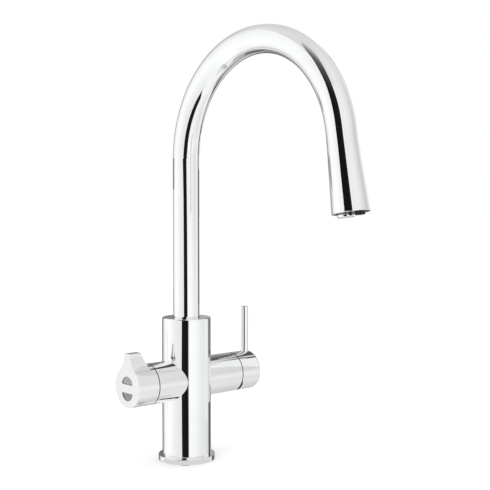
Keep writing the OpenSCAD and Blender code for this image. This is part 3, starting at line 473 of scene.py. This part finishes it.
def make_near_boards():
    """What the barrels, the column's right edge, the lever and the knob's face mirror."""
    barrel_board("mixer_board", (-19.9, 20, 52, 71), [
        (77.7, 205, 205, 140, 112), (85, 205, 205, 132, 108), (87, 218, 218, 205, 195),
        (91.5, 218, 218, 212, 208), (94, 118, 118, 112, 120), (101, 82, 82, 78, 72),
        (106, 86, 86, 82, 76), (116, 100, 100, 97, 97), (129, 122, 122, 118, 120),
        (146, 145, 145, 142, 142), (151, 150, 150, 145, 145),
    ])
    barrel_board("cap_board", (71.1, 110), [
        (73.8, 98, 104), (84, 88, 92), (86, 215, 215), (93, 215, 215), (96, 100, 110),
        (105, 74, 76), (116, 80, 80), (129, 98, 98), (146, 160, 165), (151, 160, 165),
    ])
    barrel_board("knob_board", (-115, -20), [
        (56, 212, 212), (60, 202, 202), (67, 210, 210), (76, 206, 206), (85, 194, 194),
        (88, 222, 222), (97, 216, 216), (101, 135, 135), (105, 96, 96), (112, 76, 76),
        (120, 92, 92), (130, 115, 115), (146, 135, 135), (151, 140, 140),
    ])
    board("rear_board_far", [
        (-150, 400, BOARD_HEIGHT), (900, 400, BOARD_HEIGHT),
        (-900, 3000, BOARD_HEIGHT), (3500, 3000, BOARD_HEIGHT),
    ], (140, 108, 130, 112))
    for name, heights in (("right_post_low", (-100, -12)), ("right_post_high", (50, 560))):
        upright(name, (350, -38), (350, 60), heights, (60, 66, 60, 66))
    upright("right_post_side", (350, 60), (350, 460), (-100, 310), (150, 170, 150, 170))
    upright("rear_post", (20, 350), (280, 350), (-100, 140), (112, 112, 112, 112))
    upright("mixer_card", (260, -215), (260, -70), (-20, 360), (236, 236, 238, 238))
    upright("face_card", (-300, 280), (-300, 385), (-45, 75), (239, 239, 239, 239))


DISC_RADII = (29.5 * MM, 50 * MM)
DISC_HEIGHT = 0.2 * MM
DISC_REACH = 68          # degrees to either side of the camera
DISC_TONE = 213


def make_base_disc():
    """A pale band on the floor before the base, which the base ring mirrors as the floor."""
    azimuths = fine_steps(-DISC_REACH, DISC_REACH, SKY_STEP)
    card("base_disc", [
        [((*around(azimuth, radius), DISC_HEIGHT), DISC_TONE) for azimuth in azimuths]
        for radius in DISC_RADII
    ])


FOOT_HEIGHTS = (12 * MM, 20 * MM)
FOOT_DISTANCE = 40 * MM
FOOT_TONES = ((-64, 242), (-46, 238), (-23, 233))     # azimuth that the column mirrors, tone


def make_foot_card():
    """A low card before the column's foot, which keeps the broad flag off the base ring.

    The column itself mirrors it too, so its tones are those of the backdrop behind it.
    """
    row = []
    for azimuth, tone in FOOT_TONES:
        x, y = around(azimuth / 2, COLUMN_RADIUS)
        dx, dy = around(azimuth, FOOT_DISTANCE)
        row.append((x + dx, y + dy, tone))
    card("foot_card", [[((x, y, height), tone) for x, y, tone in row] for height in FOOT_HEIGHTS])


# ---------- floor, world and lamps ----------

FLOOR_SIZE = 30.0
FLOOR_LIFT = 0.07        # emission to the camera, which keeps the shadow faint


def make_floor():
    """A pale floor, white to the camera, that keeps the tap's shadow."""
    n = Nodes("floor")
    seen = n.add("ShaderNodeLightPath", {}).outputs["Is Camera Ray"]
    mottle = n.tint(n.noise(0.4, detail=2.0), (0.9, 0.9, 0.9), (0.92, 0.92, 0.92))
    paint = n.principled(Base_Color=n.choose("RGBA", seen, mottle, (1, 1, 1, 1)), Roughness=0.9)
    lift = n.add("ShaderNodeEmission", {"Strength": n.spread(seen, 0, FLOOR_LIFT, 0, 1)})
    both = n.add("ShaderNodeAddShader", {0: paint, 1: lift.outputs["Emission"]})
    half = FLOOR_SIZE / 2
    corners = [(-half, -half, 0), (half, -half, 0), (half, half, 0), (-half, half, 0)]
    mesh = bpy.data.meshes.new("floor")
    mesh.from_pydata(corners, [], [(0, 1, 2, 3)])
    mesh.materials.append(n.finish(both.outputs["Shader"]))
    floor = add_object("floor", mesh)
    floor.visible_glossy = False


def make_world():
    """White at strength 1, to the eye and as the plain level of light."""
    world = bpy.data.worlds.new("studio")
    world.use_nodes = True
    tree = world.node_tree
    tree.nodes.clear()
    background = tree.nodes.new("ShaderNodeBackground")
    background.inputs["Color"].default_value = (1, 1, 1, 1)
    background.inputs["Strength"].default_value = 1.0
    output = tree.nodes.new("ShaderNodeOutputWorld")
    tree.links.new(background.outputs["Background"], output.inputs["Surface"])
    bpy.context.scene.world = world


LAMP_TARGET = Vector((0, 0, 0.15))


def soft_lamp(name, place, size, power):
    data = bpy.data.lights.new(name, "AREA")
    data.shape = "DISK"
    data.size = size
    data.energy = power
    lamp = add_object(name, data)
    lamp.location = place
    aim(lamp, LAMP_TARGET - Vector(place))
    lamp.visible_glossy = False
    lamp.visible_camera = False


def make_lights():
    soft_lamp("overhead", (-0.3, -0.4, 2.4), 2.0, 6)
    soft_lamp("left_fill", (-2.2, -0.6, 1.0), 1.4, 2)


bpy.context.scene.view_settings.view_transform = "Standard"
make_camera()
dress_nodes()
make_backdrop()
make_flag()
make_near_boards()
make_base_disc()
make_foot_card()
make_floor()
make_world()
make_lights()
